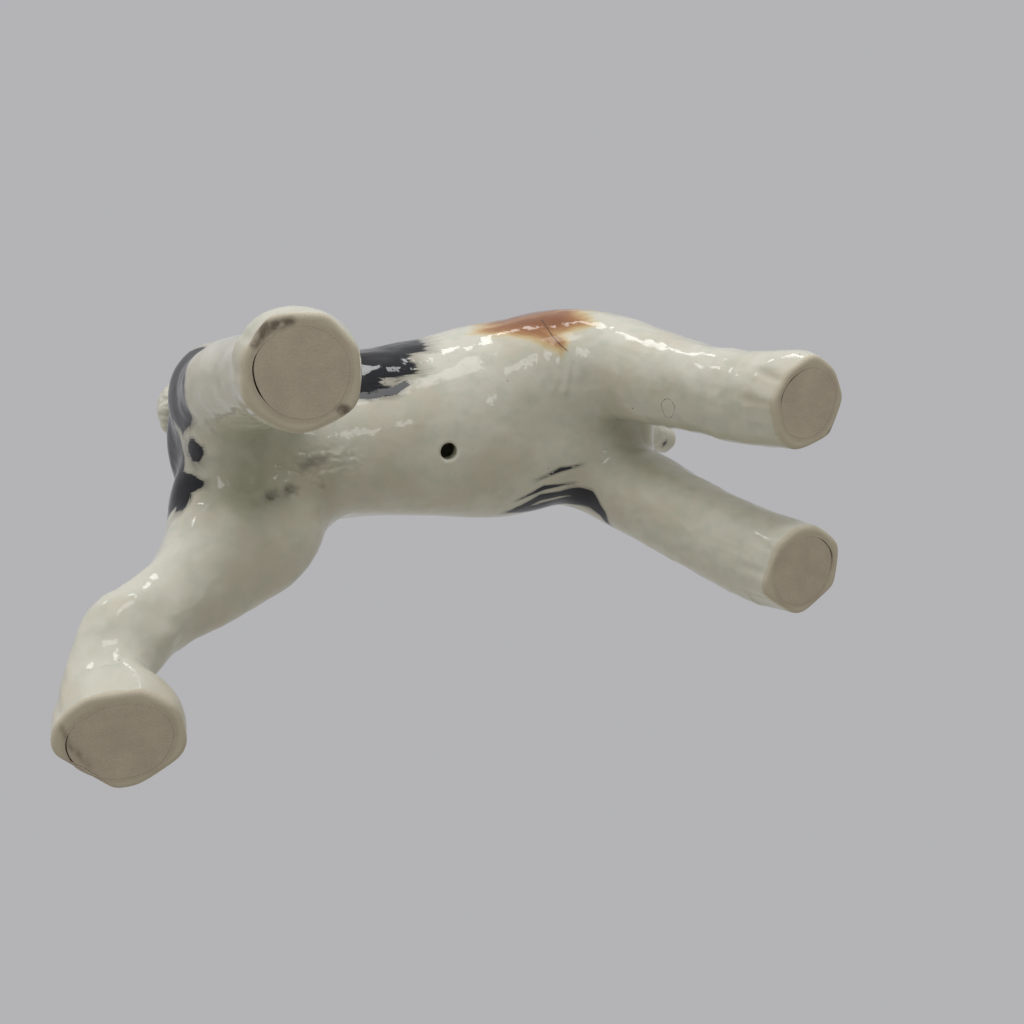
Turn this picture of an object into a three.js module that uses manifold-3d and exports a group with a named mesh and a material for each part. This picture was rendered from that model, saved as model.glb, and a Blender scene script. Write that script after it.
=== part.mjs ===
// A glazed, slip-cast terrier figurine that stands on four unglazed feet.
// The hollow body, the head and the legs are cast apart, with solid ears and a solid tail, and luted together
// with slip. A clay disc closes the open end of each leg. Sizes are in millimetres, and +Z is up.
// The dog faces -Y, and its left side is +X. Forward is counted from between its hind feet.
import * as THREE from "three";
import { mergeVertices } from "three/addons/utils/BufferGeometryUtils.js";
import Module from "manifold-3d";

const wasm = await Module();
wasm.setup();

// The cast and its joints
const wall = 2.6; // thickness of the cast clay
const slipGap = 0.3; // a luted joint, where the slip was
const legJointUp = 45.5; // top of each leg, where it meets the body
const neckJointUp = 97; // top of the body's neck, where the head meets it
const plugThickness = 3; // the clay disc in the end of each leg
const ventRadius = 1.9; // the hole in the belly that lets air out in the kiln
const ventForward = 60.5;
const ventLeft = 0.6;

// The body, as upright oval sections from the rump to the chest
const torso = {
  rump: { forward: 8, left: 0, up: 70.5, halfLeft: 15.5, halfUp: 15 },
  croup: { forward: 20, left: 1, up: 69.5, halfLeft: 19.5, halfUp: 18.5 },
  loin: { forward: 41, left: 2, up: 69.5, halfLeft: 24.4, halfUp: 19.5 },
  ribs: { forward: 62, left: 1.4, up: 69.5, halfLeft: 21.3, halfUp: 21.5 },
  shoulders: { forward: 87, left: 0.9, up: 68, halfLeft: 18.9, halfUp: 23 },
  chest: { forward: 110, left: 1.2, up: 65, halfLeft: 21.8, halfUp: 20 },
};
const rumpDome = 9; // how far the rounded end stands past its last section
const chestDome = 8.2;

// The neck, as level oval sections that flow up out of the withers and the chest, and narrow to the skull
const neck = {
  base: { forward: 92.3, left: 0.8, up: 68, halfLeft: 19.3, halfForward: 25.5 },
  root: { forward: 91.8, left: 0.4, up: 80, halfLeft: 16.8, halfForward: 21.7 },
  middle: { forward: 92.7, left: 0, up: 90, halfLeft: 14.2, halfForward: 16.8 },
  throat: { forward: 90.8, left: 0, up: 102, halfLeft: 11.8, halfForward: 13.2 },
  nape: { forward: 88, left: 0, up: 113, halfLeft: 10.2, halfForward: 10.5 },
};
const neckDome = 5;

// The head, as upright oval sections from the back of the skull to the end of the muzzle
const head = {
  occiput: { forward: 77, left: 0, up: 119, halfLeft: 9, halfUp: 9.5 },
  skull: { forward: 85, left: 0, up: 121, halfLeft: 13, halfUp: 12 },
  brow: { forward: 95, left: 0, up: 120.5, halfLeft: 12.4, halfUp: 12.2 },
  stop: { forward: 102.5, left: 0, up: 116.8, halfLeft: 9.8, halfUp: 11 },
  bridge: { forward: 109.5, left: 0, up: 114, halfLeft: 8.4, halfUp: 10.2 },
  muzzle: { forward: 116, left: 0, up: 112.5, halfLeft: 7.8, halfUp: 9.6 },
};
const occiputDome = 4;
const muzzleDome = 6;

// Each leg, as level oval sections from the ground to the part that is buried in the body
const hindLeft = {
  sole: { forward: 2, left: 18.3, up: 0, halfLeft: 8.9, halfForward: 7.9 },
  paw: { forward: 2.4, left: 18.2, up: 4, halfLeft: 9.8, halfForward: 8.9 },
  pastern: { forward: 4, left: 16.9, up: 12, halfLeft: 9.8, halfForward: 8.8 },
  hock: { forward: 9, left: 16.4, up: 28, halfLeft: 9.6, halfForward: 9.2 },
  thigh: { forward: 14, left: 16.8, up: 44, halfLeft: 11, halfForward: 12 },
  haunch: { forward: 20, left: 17.8, up: 58, halfLeft: 12, halfForward: 15.5 },
  hip: { forward: 23.5, left: 16, up: 69, halfLeft: 12.4, halfForward: 15 },
};
const hindRight = {
  sole: { forward: -2, left: -17.3, up: 0, halfLeft: 9.2, halfForward: 8.7 },
  paw: { forward: -1.6, left: -17.7, up: 4, halfLeft: 9.9, halfForward: 9.6 },
  pastern: { forward: 1, left: -17.7, up: 12, halfLeft: 10, halfForward: 9.2 },
  hock: { forward: 6.5, left: -15.6, up: 28, halfLeft: 9.9, halfForward: 9.4 },
  thigh: { forward: 10.5, left: -13.4, up: 44, halfLeft: 10.5, halfForward: 11.2 },
  haunch: { forward: 14, left: -12.2, up: 58, halfLeft: 10.8, halfForward: 13 },
  hip: { forward: 17, left: -11.5, up: 69, halfLeft: 10, halfForward: 12 },
};
const frontLeft = {
  sole: { forward: 98.7, left: 27.9, up: 0, halfLeft: 9.2, halfForward: 9.2 },
  paw: { forward: 98.9, left: 27.7, up: 4, halfLeft: 10.1, halfForward: 10.1 },
  pastern: { forward: 99.6, left: 26.3, up: 11, halfLeft: 8.7, halfForward: 8.9 },
  forearm: { forward: 101.5, left: 24, up: 21, halfLeft: 8.2, halfForward: 8.6 },
  elbow: { forward: 103.6, left: 21, up: 33, halfLeft: 8.6, halfForward: 9.6 },
  upperArm: { forward: 105, left: 18, up: 44, halfLeft: 9.4, halfForward: 11 },
  shoulder: { forward: 104, left: 13.5, up: 58, halfLeft: 10.5, halfForward: 12.5 },
};
const frontRight = {
  sole: { forward: 131, left: -31.2, up: 0, halfLeft: 8.7, halfForward: 9.9 },
  paw: { forward: 131.3, left: -30.2, up: 4, halfLeft: 9.4, halfForward: 10.1 },
  pastern: { forward: 132.6, left: -26.4, up: 10, halfLeft: 7.6, halfForward: 7.6 },
  wrist: { forward: 130, left: -21.6, up: 17, halfLeft: 8, halfForward: 8.2 },
  cannon: { forward: 125, left: -20.1, up: 23, halfLeft: 7.9, halfForward: 8.8 },
  forearm: { forward: 116.6, left: -18.2, up: 30, halfLeft: 8.9, halfForward: 10.7 },
  elbow: { forward: 108.9, left: -15.8, up: 39, halfLeft: 10.6, halfForward: 14.8 },
  shoulder: { forward: 104, left: -12, up: 54, halfLeft: 11.5, halfForward: 17.2 },
};
const hipDome = 11;
const shoulderDome = 8;

// The docked tail, as round sections counted from the middle of the rump's section out to the tail's end
const tail = {
  root: { back: 2, left: -1.5, rise: 6.5, radius: 5.8 },
  middle: { back: 14, left: -5.8, rise: 13, radius: 5.2 },
  end: { back: 27, left: -11.5, rise: 20.5, radius: 4.4 },
};
const tailDome = 3.8;

// The muscles that stand out of the torso, as egg shapes whose upper end leans forward by an angle in radians
const muscles = {
  breastLeft: { forward: 108, left: 12.5, up: 60, halfForward: 10.4, halfLeft: 9.5, halfUp: 11, lean: 0 },
  breastRight: { forward: 109.3, left: -7.5, up: 53, halfForward: 10.4, halfLeft: 10.5, halfUp: 9.5, lean: 0 },
  bladeLeft: { forward: 100, left: 14.6, up: 73, halfForward: 10, halfLeft: 5.4, halfUp: 12, lean: -0.35 },
  bladeRight: { forward: 101, left: -12.8, up: 73, halfForward: 10, halfLeft: 5.4, halfUp: 12, lean: -0.35 },
  stifleLeft: { forward: 30, left: 23.2, up: 60, halfForward: 12.5, halfLeft: 7.6, halfUp: 12, lean: 0.44 },
};

// Each ear, as flat sections that rise from the skull, fold over and hang forward to a point
const ear = {
  root: { ahead: 0, rise: -5, halfWide: 4.8, halfThick: 1.8 },
  stem: { ahead: 0.4, rise: 3, halfWide: 6, halfThick: 1.7 },
  fold: { ahead: 3.8, rise: 6.4, halfWide: 6.2, halfThick: 1.6 },
  flap: { ahead: 8.4, rise: 3, halfWide: 4.8, halfThick: 1.4 },
  tip: { ahead: 11.6, rise: -3, halfWide: 1.8, halfThick: 1.1 },
};
const earDome = 1.4;
const earHeight = 0.85; // angle in radians from the skull's side up to the root of the ear
const earSink = 1.6; // depth in the skull from which the ear's sections are counted
const earTurn = 0.6; // angle in radians by which each flap hangs outwards of straight ahead

// How finely the rounded forms are faceted
const torsoSides = 26;
const headSides = 20;
const legSides = 18;
const smallSides = 12;
const ringsBetweenSections = 2;
const ringsInDome = 3;

const cutRun = 6; // how far a cutting solid runs past what it cuts

const LEFT = new THREE.Vector3(1, 0, 0);
const FORWARD = new THREE.Vector3(0, -1, 0);
const UP = new THREE.Vector3(0, 0, 1);

const glaze = new THREE.MeshStandardMaterial({ color: 0xdfddd2, roughness: 0.12, metalness: 0 });
const blackGlaze = new THREE.MeshStandardMaterial({ color: 0x25262c, roughness: 0.12, metalness: 0 });
const bisque = new THREE.MeshStandardMaterial({ color: 0xa89c8f, roughness: 0.85, metalness: 0 });

function place({ forward, left, up }) {
  return new THREE.Vector3(left, -forward, up);
}

// A closed surface as a solid for joining and cutting
function solid(geometry) {
  geometry.deleteAttribute("normal");
  geometry.deleteAttribute("uv");
  const merged = mergeVertices(geometry);
  return new wasm.Manifold(
    new wasm.Mesh({
      numProp: 3,
      vertProperties: new Float32Array(merged.getAttribute("position").array),
      triVerts: new Uint32Array(merged.index.array),
    }),
  );
}

// A rounded solid through oval sections, each with its centre and its two half sizes. The first size lies along
// across. The second lies along upright, or square to across and to the line of centres if upright isn't given.
// An end is a dome that stands out by its given reach, or flat at 0. grow moves the whole surface out or in.
function form({ sections, across, upright, sides, startDome = 0, endDome = 0, grow = 0 }) {
  const line = new THREE.CatmullRomCurve3(sections.map((section) => section.centre));
  const halves = new THREE.CatmullRomCurve3(
    sections.map((section) => new THREE.Vector3(section.halfFirst, section.halfSecond, 0)),
  );
  const secondAt = (along) => upright ?? new THREE.Vector3().crossVectors(along, across).normalize();
  const rings = [];
  const addRing = (t, share, past) => {
    const along = line.getTangent(t);
    const second = secondAt(along);
    const half = halves.getPoint(t);
    const centre = line.getPoint(t).addScaledVector(along, past);
    const ring = [];
    for (let k = 0; k < sides; k++) {
      const angle = (2 * Math.PI * k) / sides;
      const point = centre.clone();
      point.addScaledVector(across, (half.x + grow) * share * Math.cos(angle));
      point.addScaledVector(second, (half.y + grow) * share * Math.sin(angle));
      ring.push(point);
    }
    rings.push(ring);
  };
  const startReach = startDome ? startDome + grow : 0;
  const endReach = endDome ? endDome + grow : 0;
  const domeAngle = (k) => (k / (ringsInDome + 1)) * (Math.PI / 2);
  for (let k = startDome ? ringsInDome : 0; k > 0; k--) {
    addRing(0, Math.cos(domeAngle(k)), -startReach * Math.sin(domeAngle(k)));
  }
  const steps = (sections.length - 1) * ringsBetweenSections;
  for (let i = 0; i <= steps; i++) {
    addRing(i / steps, 1, 0);
  }
  for (let k = 1; k <= (endDome ? ringsInDome : 0); k++) {
    addRing(1, Math.cos(domeAngle(k)), endReach * Math.sin(domeAngle(k)));
  }

  const points = rings.flat();
  const startPole = points.push(line.getPoint(0).addScaledVector(line.getTangent(0), -startReach)) - 1;
  const endPole = points.push(line.getPoint(1).addScaledVector(line.getTangent(1), endReach)) - 1;
  const faces = [];
  const lastRing = (rings.length - 1) * sides;
  for (let k = 0; k < sides; k++) {
    const next = (k + 1) % sides;
    faces.push([next, k, startPole]);
    for (let row = 0; row < lastRing; row += sides) {
      faces.push([row + k, row + next, row + sides + next]);
      faces.push([row + k, row + sides + next, row + sides + k]);
    }
    faces.push([lastRing + k, lastRing + next, endPole]);
  }
  const middle = line.getTangent(0.5);
  const outward = new THREE.Vector3().crossVectors(across, secondAt(middle)).dot(middle) > 0;
  const geometry = new THREE.BufferGeometry();
  geometry.setAttribute("position", new THREE.Float32BufferAttribute(points.flatMap((p) => p.toArray()), 3));
  geometry.setIndex(faces.flatMap((face) => (outward ? face : [face[0], face[2], face[1]])));
  return solid(geometry);
}

function uprightSections(table) {
  return Object.values(table).map((s) => ({ centre: place(s), halfFirst: s.halfLeft, halfSecond: s.halfUp }));
}

function levelSections(table) {
  return Object.values(table).map((s) => ({ centre: place(s), halfFirst: s.halfLeft, halfSecond: s.halfForward }));
}

function torsoForm(grow) {
  return form({
    sections: uprightSections(torso),
    across: LEFT,
    upright: UP,
    sides: torsoSides,
    startDome: rumpDome,
    endDome: chestDome,
    grow,
  });
}

function neckForm(grow) {
  return form({
    sections: levelSections(neck),
    across: LEFT,
    upright: FORWARD,
    sides: headSides,
    endDome: neckDome,
    grow,
  });
}

function headForm(grow) {
  return form({
    sections: uprightSections(head),
    across: LEFT,
    upright: UP,
    sides: headSides,
    startDome: occiputDome,
    endDome: muzzleDome,
    grow,
  });
}

// A leg runs on below the ground, where its sole is cut flat
function legForm({ table, topDome }, grow) {
  const below = { ...table.sole, up: table.sole.up - cutRun };
  return form({
    sections: levelSections({ below, ...table }),
    across: LEFT,
    upright: FORWARD,
    sides: legSides,
    endDome: topDome,
    grow,
  });
}

function muscleForm({ forward, left, up, halfForward, halfLeft, halfUp, lean }, grow) {
  const egg = new THREE.SphereGeometry(1, smallSides, smallSides - 2);
  egg.scale(halfLeft + grow, halfForward + grow, halfUp + grow);
  egg.rotateX(lean);
  const middle = place({ forward, left, up });
  return solid(egg.translate(middle.x, middle.y, middle.z));
}

function tailForm() {
  const sections = Object.values(tail).map((s) => ({
    centre: place(torso.rump).add(new THREE.Vector3(s.left, s.back, s.rise)),
    halfFirst: s.radius,
    halfSecond: s.radius,
  }));
  return form({ sections, across: LEFT, sides: smallSides, startDome: tailDome, endDome: tailDome });
}

function earForm(side) {
  const ahead = FORWARD.clone().applyAxisAngle(UP, side * earTurn);
  const across = LEFT.clone().applyAxisAngle(UP, side * earTurn);
  const out = (head.skull.halfLeft - earSink) * Math.cos(earHeight);
  const rise = (head.skull.halfUp - earSink) * Math.sin(earHeight);
  const seat = place(head.skull).add(new THREE.Vector3(side * out, 0, rise));
  const sections = Object.values(ear).map((s) => ({
    centre: seat.clone().addScaledVector(ahead, s.ahead).addScaledVector(UP, s.rise),
    halfFirst: s.halfWide,
    halfSecond: s.halfThick,
  }));
  return form({ sections, across, sides: smallSides, startDome: earDome, endDome: earDome });
}

// All the space between two heights
function slab(low, high) {
  const span = 500;
  return solid(new THREE.BoxGeometry(span, span, high - low).translate(0, 0, (high + low) / 2));
}

function ventForm() {
  const reach = torso.ribs.halfUp;
  const drill = new THREE.CylinderGeometry(ventRadius, ventRadius, reach, smallSides);
  drill.rotateX(Math.PI / 2);
  const belly = place({ forward: ventForward, left: ventLeft, up: torso.ribs.up - torso.ribs.halfUp });
  return solid(drill.translate(belly.x, belly.y, belly.z));
}

const dog = new THREE.Group();

function addPiece(name, material, shape) {
  const mesh = shape.getMesh();
  const geometry = new THREE.BufferGeometry();
  geometry.setAttribute("position", new THREE.BufferAttribute(mesh.vertProperties, 3));
  geometry.setIndex(new THREE.BufferAttribute(mesh.triVerts, 1));
  geometry.computeVertexNormals();
  const piece = new THREE.Mesh(geometry, material);
  piece.name = name;
  dog.add(piece);
}

const legs = {
  front_left: { table: frontLeft, topDome: shoulderDome },
  front_right: { table: frontRight, topDome: shoulderDome },
  hind_left: { table: hindLeft, topDome: hipDome },
  hind_right: { table: hindRight, topDome: hipDome },
};

// The outer surface of all that is cast hollow, and the space inside it
function joined(grow) {
  const trunk = torsoForm(grow).add(neckForm(grow)).add(headForm(grow));
  const fleshed = Object.values(muscles).reduce((sum, muscle) => sum.add(muscleForm(muscle, grow)), trunk);
  return Object.values(legs).reduce((sum, leg) => sum.add(legForm(leg, grow)), fleshed);
}
const hollow = joined(-wall);
const cast = joined(0).subtract(hollow).subtract(ventForm());

const skyUp = 300; // above everything
addPiece("body_shell", glaze, cast.intersect(slab(legJointUp + slipGap, neckJointUp)));
addPiece("head_shell", glaze, cast.intersect(slab(neckJointUp + slipGap, skyUp)));
addPiece("tail", glaze, tailForm().subtract(torsoForm(slipGap)));
addPiece("ear_left", blackGlaze, earForm(1).subtract(headForm(slipGap)));
addPiece("ear_right", blackGlaze, earForm(-1).subtract(headForm(slipGap)));
for (const [corner, leg] of Object.entries(legs)) {
  const bore = legForm(leg, -wall);
  const outside = legForm(leg, 0);
  addPiece(`leg_${corner}`, glaze, outside.subtract(bore).intersect(slab(0, legJointUp)));
  addPiece(`foot_plug_${corner}`, bisque, legForm(leg, -wall - slipGap).intersect(slab(0, plugThickness)));
}

// The origin is under the middle of the dog, on the ground
const middle = new THREE.Box3().setFromObject(dog).getCenter(new THREE.Vector3());
dog.position.set(-middle.x, -middle.y, 0);

export default dog;
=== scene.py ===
import bpy
import numpy as np
from mathutils import Matrix, Vector


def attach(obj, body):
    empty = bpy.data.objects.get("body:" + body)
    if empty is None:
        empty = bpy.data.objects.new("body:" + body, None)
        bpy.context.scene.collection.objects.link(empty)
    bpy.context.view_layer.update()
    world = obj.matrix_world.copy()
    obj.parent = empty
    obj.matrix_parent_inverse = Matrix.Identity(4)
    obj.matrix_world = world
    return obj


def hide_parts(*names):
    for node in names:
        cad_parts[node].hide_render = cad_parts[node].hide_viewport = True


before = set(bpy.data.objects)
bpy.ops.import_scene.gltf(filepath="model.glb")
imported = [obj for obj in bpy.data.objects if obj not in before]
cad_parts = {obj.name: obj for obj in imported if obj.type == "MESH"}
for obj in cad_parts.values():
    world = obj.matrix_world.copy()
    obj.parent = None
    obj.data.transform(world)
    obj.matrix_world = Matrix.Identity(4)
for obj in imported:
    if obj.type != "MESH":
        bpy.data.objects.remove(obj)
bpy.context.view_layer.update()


# Body. A hollow shell of white earthenware, slip-cast with the upper legs and the neck, and vented by a hole
# drilled in the belly. The other parts are luted on with slip, and one clear glaze covers the joints.
# Sizes are in millimetres: forward from between the hind feet, left of the middle, and up from the shelf.
FORWARD, LEFT, UP = 0, 1, 2
ROW_ORIGIN = (59.258, -1.0642, 0)  # the middle of the footprint, counted forward, left and up
MESH_STEP = 0.6
JOINT_UP = 45.5  # where the legs are luted on
NECK_JOINT_UP = 97  # where the head is luted on
LIP_DEPTH = 0.8  # how far behind the surface an open end is closed

# forward, left, up, half width, half height
torso_sections = (
    (8, 0, 70.5, 15.5, 15),
    (20, 1, 69.5, 19.5, 18.5),
    (41, 2, 69.5, 24.4, 19.5),
    (62, 1.4, 69.5, 21.3, 21.5),
    (87, 1.3, 68, 18.2, 22.8),
    (110, 1.2, 65, 21.8, 20),
)
# forward, left, up, half width, half length
neck_sections = (
    (92.3, 0.8, 68, 19.3, 25.5),
    (91.8, 0.4, 80, 16.8, 21.7),
    (92.7, 0, 90, 14.2, 16.8),
    (90.8, 0, 102, 11.8, 13.2),
    (88, 0, 113, 10.2, 10.5),
)
upper_leg_sections = {
    "hind_left": (
        (9, 16.4, 28, 9.6, 9.2),
        (14, 16.8, 44, 11, 12),
        (20, 17.8, 58, 12, 15.5),
        (23.5, 16, 69, 12.4, 15),
    ),
    "hind_right": (
        (6.5, -15.6, 28, 9.9, 9.4),
        (10.5, -13.4, 44, 10.4, 10.6),
        (13.4, -12.2, 58, 10.8, 11.4),
        (16, -11.5, 69, 10, 10.6),
    ),
    "front_left": ((103.6, 21, 33, 8.6, 9.6), (105, 18, 44, 9.4, 11), (104, 13.5, 58, 10.5, 12.5)),
    "front_right": (
        (116.6, -18.2, 30, 8.9, 10.7),
        (108.9, -15.8, 39, 10.6, 14.8),
        (104, -12, 54, 11.5, 17.2),
    ),
}
# How square the sections are: 2 is an ellipse
TORSO_SQUARE = 2.22
LEG_SQUARE = 2.15
upper_leg_domes = {"hind_left": 11, "hind_right": 11, "front_left": 8, "front_right": 8}


def oval_form(sections, line, start_dome, end_dome, square=2.0):
    """How far points are outside a rounded form through oval sections, which follow each other on one axis.

    A section is an ellipse where square is 2, and a rounded rectangle where it is more."""
    second = UP if line == FORWARD else FORWARD
    rows = np.array(sections, float)
    station = rows[:, line]
    table_step = 0.25
    fine = np.arange(np.ceil(station[0] / table_step), station[-1] / table_step + 1e-6) * table_step
    segment = np.clip(np.searchsorted(station, fine, side="right") - 1, 0, len(station) - 2)
    gap = station[segment + 1] - station[segment]
    u = (fine - station[segment]) / gap

    def smooth(column):
        slope = np.gradient(column, station)
        start = (1 + 2 * u) * (1 - u) ** 2 * column[segment] + u * (1 - u) ** 2 * gap * slope[segment]
        end = u * u * (3 - 2 * u) * column[segment + 1] + u * u * (u - 1) * gap * slope[segment + 1]
        return start + end

    columns = [smooth(rows[:, k]) for k in (LEFT, second, 3, 4)]
    columns += [np.gradient(column, fine) for column in columns[:2]]

    def outside(points):
        along = np.clip(points[:, line], fine[0], fine[-1])
        beyond = points[:, line] - along
        here = [np.interp(along, fine, column) for column in columns]
        middle, middle_second, half, half_second, lean, lean_second = here
        dome = np.where(beyond < 0, start_dome, end_dome)
        across = (points[:, LEFT] - middle) / half
        other = (points[:, second] - middle_second) / half_second
        past = beyond / dome
        girth = np.abs(across) ** square + np.abs(other) ** square + 1e-12
        round_size = girth ** (1 / square)
        size = np.hypot(round_size, past)
        pull = (round_size / girth) * round_size / size
        rise_left = pull * np.sign(across) * np.abs(across) ** (square - 1) / half
        rise_second = pull * np.sign(other) * np.abs(other) ** (square - 1) / half_second
        slope = np.sqrt(rise_left**2 + rise_second**2 + (past / size / dome) ** 2) + 1e-9
        tilt = (rise_left * lean + rise_second * lean_second) / slope
        return (size - 1) / slope / np.sqrt(1 + tilt**2)

    return outside


def merge(first, second, soft):
    """Two clays joined, with a fillet where they meet."""
    near = np.maximum(soft - np.abs(first - second), 0) / soft
    return np.minimum(first, second) - near * near * soft / 4


def carve(clay, tool, soft):
    """The clay with the tool's shape cut out of it, and the cut's edge softened."""
    return -merge(-clay, tool, soft)


def nearby(centre, reach, measure):
    """Measures only the points within reach of a centre, because the rest are far outside the shape."""

    def outside(points):
        distance = np.full(len(points), 50.0)
        near = np.abs(points - centre).max(axis=1) < reach
        if near.any():
            distance[near] = measure(points[near])
        return distance

    return outside


def pad(centre, radii, turn=0.0, about=LEFT):
    """An egg-shaped pad of clay, turned by an angle in degrees about one axis."""
    centre = np.array(centre, float)
    radii = np.array(radii, float)
    spin = np.array(Matrix.Rotation(np.radians(turn), 3, "XYZ"[about]))

    def measure(points):
        local = (points - centre) @ spin / radii
        size = np.linalg.norm(local, axis=1)
        return size * (size - 1) / (np.linalg.norm(local / radii, axis=1) + 1e-9)

    return nearby(centre, radii.max() + 9, measure)


def roll(path, radii):
    """A rolled strip of clay along a path, with one radius or one for each point."""
    path = np.array(path, float)
    radii = np.full(len(path), radii, float)
    middle = (path.max(axis=0) + path.min(axis=0)) / 2

    def measure(points):
        distance = np.full(len(points), 50.0)
        for start, end, radius, next_radius in zip(path, path[1:], radii, radii[1:]):
            run = end - start
            share = np.clip((points - start) @ run / (run @ run), 0, 1)
            gap = np.linalg.norm(points - start - share[:, None] * run, axis=1)
            distance = np.minimum(distance, gap - radius - share * (next_radius - radius))
        return distance

    return nearby(middle, np.abs(path - middle).max() + radii.max() + 9, measure)


def curved(points, steps=5):
    """More rows on the smooth curve through a few rows."""
    rows = np.array(points, float)
    ends = np.vstack((2 * rows[0] - rows[1], rows, 2 * rows[-1] - rows[-2]))
    found = []
    for k in range(len(rows) - 1):
        before, start, end, after = ends[k : k + 4]
        for u in np.arange(steps) / steps:
            bend = (2 * before - 5 * start + 4 * end - after) * u
            bend += (3 * start - before - 3 * end + after) * u * u
            found.append(start + u / 2 * (end - before + bend))
    found.append(rows[-1])
    return np.array(found)


vent_forward, vent_left, vent_radius = 60.5, 0.6, 1.9
vent_bore_top = 56
vent_chamber = pad((vent_forward, vent_left, 57.5), (8, 8, 6.5))  # what shows of the hollow, through the vent
torso = oval_form(torso_sections, FORWARD, 9, 8.2, TORSO_SQUARE)
neck = oval_form(neck_sections, UP, 6, 5)
upper_legs = {}
for name, rows in upper_leg_sections.items():
    upper_legs[name] = oval_form(rows, UP, np.inf, upper_leg_domes[name], LEG_SQUARE)
breast_fold = curved(((101, -3, 47), (105, -7, 43), (112, -12.5, 34), (118, -17, 26), (124, -21, 18)))
# Each with how far its edge is smoothed into the body
body_pads = (
    (pad((108, 12.5, 60), (10.4, 9.5, 11)), 2.5),  # left side of the breast
    (pad((109.3, -7.5, 53), (10.4, 10.5, 9.5)), 2.5),  # right side of the breast
    (pad((100, 14.6, 73), (10, 5.4, 12), -20, LEFT), 6),  # left shoulder blade
    (pad((101, -12.8, 73), (10, 5.4, 12), -20, LEFT), 6),  # right shoulder blade
    (pad((30, 20.6, 62.5), (13, 7.8, 12.5), 15, LEFT), 7),  # left stifle
    (pad((34, 13.5, 60), (14, 10, 10.2)), 7),  # left flank, below the stifle
    (pad((101, 20, 42), (8, 6.5, 10)), 6),  # left upper arm
    (pad((107, 15.8, 60.5), (9, 7.2, 8.6)), 4),  # left point of the shoulder
    (roll(breast_fold, 1.6), 4),  # from the breast down the right foreleg
)
NECK_FILLET = 8
LEG_FILLET = 6
VENT_EDGE = 0.7


def body_clay(points, legs=upper_legs):
    clay = merge(torso(points), neck(points), NECK_FILLET)
    for leg in legs.values():
        clay = merge(clay, leg(points), LEG_FILLET)
    for shape, soft in body_pads:
        clay = merge(clay, shape(points), soft)
    across = np.hypot(points[:, FORWARD] - vent_forward, points[:, LEFT] - vent_left) - vent_radius
    bore = np.maximum(across, points[:, UP] - vent_bore_top)
    return carve(clay, np.minimum(bore, vent_chamber(points)), VENT_EDGE)


# Large numbers that scatter the cells of a lattice over a list of random leanings
CELL_MIX = (374761393, 668265263, 1274126177)
SEED_MIX = 974711
SHUFFLE = 1103515245
LOW_BITS = 0xFFFFFFFF
dice = np.random.default_rng(7)
leanings = dice.normal(size=(256, 3))
leanings /= np.linalg.norm(leanings, axis=1, keepdims=True)


def swell(points, size, seed=0):
    """A smooth random rise and fall, from about -1 to 1, with one swell in each cell of a size."""
    cell = points / np.array(size, float)
    corner = np.floor(cell)
    part = cell - corner
    ease = part**3 * (part * (part * 6 - 15) + 10)
    corner = corner.astype(np.int64) + 4096
    total = np.zeros(len(points))
    for step in np.ndindex(2, 2, 2):
        x, y, z = (corner + step).T
        key = (x * CELL_MIX[0] + y * CELL_MIX[1] + z * CELL_MIX[2] + seed * SEED_MIX) & LOW_BITS
        key = ((key ^ (key >> 13)) * SHUFFLE) & LOW_BITS
        lean = leanings[(key >> 11) & 255]
        weight = np.prod(np.where(np.array(step) == 1, ease, 1 - ease), axis=1)
        total += weight * ((part - step) * lean).sum(axis=1)
    return total * 1.6


def between(low, high, value):
    """0 below low, 1 above high and a smooth step between them. The two may be given the other way round."""
    share = np.clip((value - low) / (high - low), 0, 1)
    return share * share * (3 - 2 * share)


def around(points, area):
    """1 in the middle of an egg-shaped area, which is its centre and its radii, and 0 outside it."""
    centre, radii = area
    return between(1, 0.3, np.linalg.norm((points - centre) / radii, axis=1))


GROIN_FOLDS = ((33.5, 17, 50), (8.5, 9.5, 9))
JOINING_SLIP = ((90, 0.5, 45.3), (13, 5.5, 5))  # left rough between the forelegs
THIGH = (24, 24, 50)
# Blisters of the slip that catch the light, and pits where the height is below 0: place, reach and height
blisters = (
    ((73.8, 18.9, 57.6), 5.5, 0.34),
    ((55, 22.4, 58), 5, 0.25),
    ((48.5, 21, 56.5), 4.5, 0.25),
    ((68, 9, 48), 7, 0.2),
    ((85.6, 2.4, 45.6), 2.4, 0.35),
    ((89.7, -4.4, 45.4), 1.1, -0.7),
    ((96.7, -4, 44), 1.3, -0.8),
    ((101, -4.5, 41.8), 1.2, -0.8),
    ((98.6, -4.4, 43), 1.2, 0.35),
)


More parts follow.
